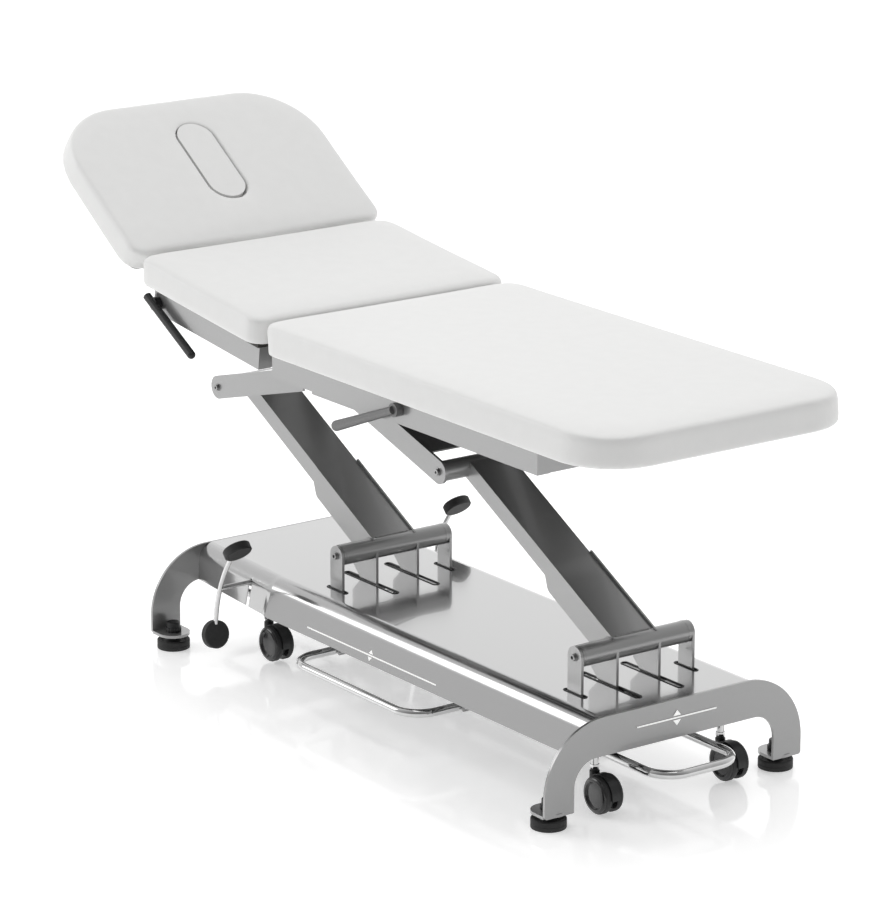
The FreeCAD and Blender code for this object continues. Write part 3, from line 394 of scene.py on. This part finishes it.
# Levelling feet: a round rubber pad with a stepped top, a zinc screw, and a
# black hand knob with shallow finger grooves.
for tag in ("head_near", "head_far", "foot_near", "foot_far"):
    low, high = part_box("foot_pad_" + tag)
    centre = Vector(((low[0] + high[0]) / 2, (low[1] + high[1]) / 2, 0))
    profile = [(0, 0), (0.033, 0), (0.0345, 0.0006), (0.035, 0.002), (0.035, 0.0085), (0.0344, 0.0092),
               (0.0344, 0.0102), (0.035, 0.0109), (0.035, 0.017), (0.0346, 0.0188), (0.0330, 0.0200),
               (0.0285, 0.0200), (0.0272, 0.0193), (0.0255, 0.0163), (0.0180, 0.0160), (0.0165, 0.0170),
               (0.0140, 0.0215), (0.0128, 0.0220), (0.0062, 0.0220)]
    lathe("levelling_pad_" + tag, profile, centre, (0, 0, 1), [rubber], "foot_" + tag, "foot_pad_" + tag)
    rings = [(0.0, 0.058, 0.0), (0.0120, 0.0580, 0.0), (0.0134, 0.0574, 0.0), (0.0140, 0.0560, 0.0),
             (0.0140, 0.0475, 0.0), (0.0150, 0.0462, 1.0), (0.0166, 0.0458, 1.0), (0.0170, 0.0450, 1.0),
             (0.0170, 0.0375, 1.0), (0.0164, 0.0365, 1.0), (0.0, 0.0363, 0.0)]
    steps = 96
    verts = []
    for i in range(steps):
        angle = 2 * math.pi * i / steps
        groove = 0.0011 * max(0.0, math.cos(angle * 12)) ** 2
        for r, h, deep in rings:
            reach = r - groove * deep - (0.0004 * max(0.0, math.cos(angle * 24)) if 0.047 < h < 0.057 else 0.0)
            verts.append((centre.x + max(reach, 0) * math.cos(angle), centre.y + max(reach, 0) * math.sin(angle), h))
    faces = []
    count = len(rings)
    for i in range(steps):
        j = (i + 1) % steps
        for k in range(count - 1):
            faces.append((i * count + k, i * count + k + 1, j * count + k + 1, j * count + k))
    mesh = bpy.data.meshes.new("hand_knob_" + tag)
    mesh.from_pydata(verts, [], faces)
    mesh.materials.append(plastic)
    work = bmesh.new()
    work.from_mesh(mesh)
    bmesh.ops.remove_doubles(work, verts=work.verts, dist=1e-6)
    bmesh.ops.recalc_face_normals(work, faces=work.faces)
    work.to_mesh(mesh)
    work.free()
    mesh.polygons.foreach_set("use_smooth", [True] * len(mesh.polygons))
    mesh.set_sharp_from_angle(angle=math.radians(40))
    knob = bpy.data.objects.new("hand_knob_" + tag, mesh)
    bpy.context.scene.collection.objects.link(knob)
    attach(knob, "foot_" + tag)
    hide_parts("foot_screw_" + tag)
    thread = [(0, 0.009), (0.0058, 0.009)]
    for turn_at in range(16):
        z = 0.0225 + turn_at * 0.00085
        thread += [(0.0060, z), (0.0052, z + 0.0004)]
    thread += [(0.0060, 0.0365), (0, 0.0365)]
    lathe("levelling_screw_" + tag, thread, centre, (0, 0, 1), [zinc], "foot_" + tag)
    nut = [(0.0061, 0.0221), (0.0098, 0.0221), (0.0100, 0.0226), (0.0100, 0.0254), (0.0098, 0.0259), (0.0061, 0.0259)]
    lathe("lock_nut_" + tag, nut, centre, (0, 0, 1), [zinc], "foot_" + tag, steps=6)

# White printed marks: a thin line with two small triangles on the foot-end
# plate and on the near side of the cover, screen printed on the coat.
# The white print also glows faintly through its emission. This is painted light that keeps the marks bright.
glowing_print_white, tree, shader = material("screen_printed_white_painted_glow", "#f4f4f2", 0.5,
                                     {"Emission Color": (1, 1, 1, 1), "Emission Strength": 0.35})
place = varied(tree, shader, "#efefed", "#f8f8f6", 0.002, 0.8)
bumped(tree, shader, place, 0.0005, 0.00001)


def printed(name, shapes, origin, along, upward, outward, body):
    """Flat marks, each a list of (along, up) corners in metres, a tenth of a millimetre proud."""
    verts = []
    faces = []
    for shape in shapes:
        base = len(verts)
        for lift_off in (-0.00005, 0.00012):
            for a, b in shape:
                verts.append(Vector(origin) + Vector(along) * a + Vector(upward) * b + Vector(outward) * lift_off)
        size = len(shape)
        faces.append(tuple(base + size + i for i in range(size)))
        for i in range(size):
            j = (i + 1) % size
            faces.append((base + i, base + j, base + size + j, base + size + i))
    mesh = bpy.data.meshes.new(name)
    mesh.from_pydata(verts, [], faces)
    mesh.materials.append(glowing_print_white)
    mark = bpy.data.objects.new(name, mesh)
    bpy.context.scene.collection.objects.link(mark)
    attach(mark, body)
    return mark


def arrow_line(half, thick, size, gap):
    line = [(-half, -thick / 2), (half, -thick / 2), (half, thick / 2), (-half, thick / 2)]
    above = [(-size, gap), (size, gap), (0, gap + size * 1.15)]
    below = [(-size, -gap), (0, -gap - size * 1.15), (size, -gap)]
    return [line, above, below]


plate_low, plate_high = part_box("end_plate_foot")
printed("foot_plate_marks", arrow_line(0.098, 0.0028, 0.0095, 0.0045), (plate_high[0], 0.0, 0.171),
        (0, 1, 0), (0, 0, 1), (1, 0, 0), "base")
lean = math.radians(18.1)
printed("cover_side_marks", arrow_line(0.2255, 0.0026, 0.0068, 0.0036), (0.1137, -0.2234, 0.1471),
        (1, 0, 0), (0, math.sin(lean), math.cos(lean)), (0, -math.cos(lean), math.sin(lean)), "base")

# Weld beads: where each arm's channels and horns meet the base tube, and
# round the ends of the tubes, a line of overlapping drops about 4 mm wide.
bead, tree, shader = material("coated_weld_bead", "#919191", 0.34, {"Metallic": 0.75, "Coat Weight": 0.4})
place = varied(tree, shader, "#8a8a8a", "#9b9b9b", 0.0008, 0.5)
bumped(tree, shader, place, 0.0012, 0.00010)


def weld(name, points, width, body):
    """Overlapping drops swept along points."""
    path = [Vector(p) for p in points]
    verts = []
    faces = []
    ring = 10
    total = 0.0
    rows = []
    for a, b in zip(path[:-1], path[1:]):
        span = (b - a).length
        steps = max(2, int(span / 0.0006))
        for i in range(steps):
            rows.append((a.lerp(b, i / steps), (b - a).normalized(), total + span * i / steps))
        total += span
    rows.append((path[-1], (path[-1] - path[-2]).normalized(), total))
    for centre, ahead, run in rows:
        side = ahead.cross(Vector((0.13, 0.21, 0.97)))
        side.normalize()
        lift_off = side.cross(ahead)
        drop = 0.5 + 0.5 * math.cos(2 * math.pi * (run / (width * 0.62)))
        edge = min(1.0, (run + 0.0002) / width, (total - run + 0.0002) / width) ** 0.5
        r = width / 2 * (0.80 + 0.20 * drop + 0.06 * math.sin(run * 1900)) * edge
        for k in range(ring):
            angle = 2 * math.pi * k / ring
            verts.append(centre + (side * math.cos(angle) + lift_off * math.sin(angle)) * r)
    for i in range(len(rows) - 1):
        for k in range(ring):
            m = (k + 1) % ring
            faces.append((i * ring + k, i * ring + m, (i + 1) * ring + m, (i + 1) * ring + k))
    faces.append(tuple(range(ring)))
    faces.append(tuple((len(rows) - 1) * ring + k for k in range(ring)))
    mesh = bpy.data.meshes.new(name)
    mesh.from_pydata(verts, [], faces)
    mesh.materials.append(bead)
    mesh.polygons.foreach_set("use_smooth", [True] * len(mesh.polygons))
    piece = bpy.data.objects.new(name, mesh)
    bpy.context.scene.collection.objects.link(piece)
    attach(piece, body)
    return piece


lift_joints = {j["name"]: j for j in frame["joints"]}
raise_angle = math.radians(27.8)
for end, joint_name in (("head", "lift"), ("foot", "lift_follow")):
    pivot = Vector(lift_joints[joint_name]["pos_m"])
    pivot.y = 0.0
    along = Vector((-math.cos(raise_angle), 0, math.sin(raise_angle)))
    normal = Vector((math.sin(raise_angle), 0, math.cos(raise_angle)))
    reach = math.sqrt(0.022 ** 2 - 0.0197 ** 2)
    seam = pivot + along * (reach + 0.0006) + normal * 0.0200
    weld("weld_web_" + end, [seam + Vector((0, y, 0)) for y in (-0.043, 0.0, 0.043)], 0.0045, "arm_" + end)
    for side in (-1, 1):
        tag = end + ("_near" if side < 0 else "_far")
        corner = [pivot + along * (0.0222 * math.cos(a)) + normal * (0.0222 * math.sin(a))
                  + Vector((0, side * 0.0546, 0)) for a in [math.radians(d) for d in range(-84, 85, 12)]]
        weld("weld_side_" + tag, corner, 0.0040, "arm_" + end)

# Bright socket screws at the pivots of the arms: low round heads with a
# six-sided recess, over a thin washer.
# The dark tone of the recess is painted shade: a shallow six-sided floor stands in for the shadow inside a deep
# socket.
painted_socket_shade, tree, shader = material("screw_socket_painted_shade", "#2a2a2a", 0.5, {"Metallic": 0.8})
place = varied(tree, shader, "#242424", "#343434", 0.002, 0.8)
bumped(tree, shader, place, 0.0008, 0.00003)
screw_places = []
for end, joint_name in (("head", "lift"), ("foot", "lift_follow")):
    pivot = Vector(lift_joints[joint_name]["pos_m"])
    for side, side_name in ((-1, "near"), (1, "far")):
        low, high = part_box("pivot_post_" + end + "_" + side_name)
        outer = low[1] if side < 0 else high[1]
        screw_places.append(("base", end + "_" + side_name, Vector((pivot.x, outer - side * 0.006, pivot.z)), side))
for body, tag, centre, side in screw_places:
    head = [(0.0082, 0.0), (0.0082, 0.0021), (0.0070, 0.0023), (0.0069, 0.0052), (0.0058, 0.0063), (0.0038, 0.0065)]
    lathe("pivot_screw_" + tag, head, centre, (0, side, 0), [zinc], body)
    lathe("pivot_recess_" + tag, [(0.0, 0.0062), (0.0036, 0.0062), (0.0038, 0.0066)], centre, (0, side, 0),
          [painted_socket_shade], body, steps=6)

# Dark moulded edging round the slots of the cover and thin collars at the
# ends of the two base tubes.


def edging(name, centre, half_long, half_wide, rim, rise, body):
    """A low flat ring round a slot with round ends."""
    loop = []
    for i in range(48):
        angle = 2 * math.pi * i / 48
        shift = (half_long - half_wide) * (1 if math.cos(angle) >= 0 else -1)
        loop.append((shift, math.cos(angle), math.sin(angle)))
    verts = []
    for reach, lift_off in ((half_wide - 0.0008, -0.0030), (half_wide - 0.0008, rise * 0.6), (half_wide, rise),
                            (half_wide + rim * 0.7, rise), (half_wide + rim, 0.00005)):
        for shift, c, s in loop:
            verts.append((centre[0] + shift + reach * c, centre[1] + reach * s, centre[2] + lift_off))
    faces = []
    for k in range(4):
        for i in range(48):
            j = (i + 1) % 48
            faces.append((k * 48 + i, k * 48 + j, (k + 1) * 48 + j, (k + 1) * 48 + i))
    mesh = bpy.data.meshes.new(name)
    mesh.from_pydata(verts, [], faces)
    mesh.materials.append(plastic)
    mesh.polygons.foreach_set("use_smooth", [True] * len(mesh.polygons))
    piece = bpy.data.objects.new(name, mesh)
    bpy.context.scene.collection.objects.link(piece)
    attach(piece, body)


cover_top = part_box("base_cover")[1][2]
for end, joint_name in (("head", "lift"), ("foot", "lift_follow")):
    pivot = Vector(lift_joints[joint_name]["pos_m"])
    for side, side_name in ((-1, "near"), (1, "far")):
        tag = end + "_" + side_name
        edging("horn_slot_edging_" + tag, (pivot.x, side * 0.052, cover_top), 0.092, 0.007, 0.0022, 0.0012, "base")
        inner = side * 0.1345
        edging("post_slot_edging_" + tag, (pivot.x, inner + side * 0.0030, cover_top), 0.0325, 0.0050,
               0.0022, 0.0014, "base")
        collar = [(0.0218, -0.0022), (0.0222, -0.0020), (0.0224, -0.0008), (0.0224, 0.0008), (0.0222, 0.0020),
                  (0.0218, 0.0022)]
        lathe("tube_collar_" + tag, collar, Vector((pivot.x, inner - side * 0.0075, pivot.z)), (0, side, 0),
              [coat], "arm_" + end)

# Plain studio: white floor with a soft mirror finish, white surroundings,
# two large soft lights.
floor_mat, tree, shader = material("studio_floor", "#ffffff", 0.08)
place = varied(tree, shader, "#fdfdfd", "#ffffff", 0.4, 0.8)
shader.inputs["Emission Color"].default_value = (1, 1, 1, 1)
shader.inputs["Emission Strength"].default_value = 0.42
mesh = bpy.data.meshes.new("studio_floor")
edge = 30.0
mesh.from_pydata([(-edge, -edge, 0), (edge, -edge, 0), (edge, edge, 0), (-edge, edge, 0)], [], [(0, 1, 2, 3)])
mesh.materials.append(floor_mat)
floor = bpy.data.objects.new("studio_floor", mesh)
bpy.context.scene.collection.objects.link(floor)

scene = bpy.context.scene
scene.view_settings.view_transform = "Standard"
world = bpy.data.worlds.new("studio") if scene.world is None else scene.world
scene.world = world
world.use_nodes = True
sky = world.node_tree
place = add(sky, "ShaderNodeTexCoord")
toward = add(sky, "ShaderNodeVectorMath", {"operation": "DOT_PRODUCT", 1: (-0.807, 0.590, 0.0)},
             {0: (place, "Generated")})
glow = add(sky, "ShaderNodeMapRange", {"From Min": -0.85, "From Max": 0.95, "To Min": 0.25, "To Max": 1.12},
           {"Value": (toward, "Value")})
sky.nodes["Background"].inputs["Color"].default_value = (1, 1, 1, 1)
sky.links.new(glow.outputs["Result"], sky.nodes["Background"].inputs["Strength"])


def soft_light(name, place, target, size, power):
    data = bpy.data.lights.new(name, "AREA")
    data.shape = "RECTANGLE"
    data.size = size[0]
    data.size_y = size[1]
    data.energy = power
    lamp = bpy.data.objects.new(name, data)
    lamp.location = place
    aim = Vector(target) - Vector(place)
    lamp.rotation_euler = aim.to_track_quat("-Z", "Y").to_euler()
    scene.collection.objects.link(lamp)


soft_light("overhead", (0.2, 0.3, 4.5), (0, 0, 0.5), (3.5, 2.5), 50)
soft_light("window_side", (-3.5, -3.5, 2.6), (0, 0, 0.5), (2.5, 2.5), 52)

# Camera where the photograph was taken from.
camera_data = bpy.data.cameras.new("camera")
camera_data.sensor_fit = "HORIZONTAL"
camera_data.sensor_width = 36.0
camera_data.lens = 4175 * 36.0 / 893
camera_data.clip_end = 200.0
camera = bpy.data.objects.new("camera", camera_data)
yaw = math.radians(-53.82)
pitch = math.radians(15.86)
roll = math.radians(0.13)
ahead = Vector((math.sin(yaw) * math.cos(pitch), math.cos(yaw) * math.cos(pitch), -math.sin(pitch)))
right = Vector((math.cos(yaw), -math.sin(yaw), 0.0))
up = right.cross(ahead)
turned_right = right * math.cos(roll) + up * math.sin(roll)
turned_up = up * math.cos(roll) - right * math.sin(roll)
turn = Matrix((turned_right, turned_up, -ahead)).transposed()
camera.matrix_world = Matrix.Translation((6.661575, -4.8227, 2.8531)) @ turn.to_4x4()
scene.collection.objects.link(camera)
scene.camera = camera
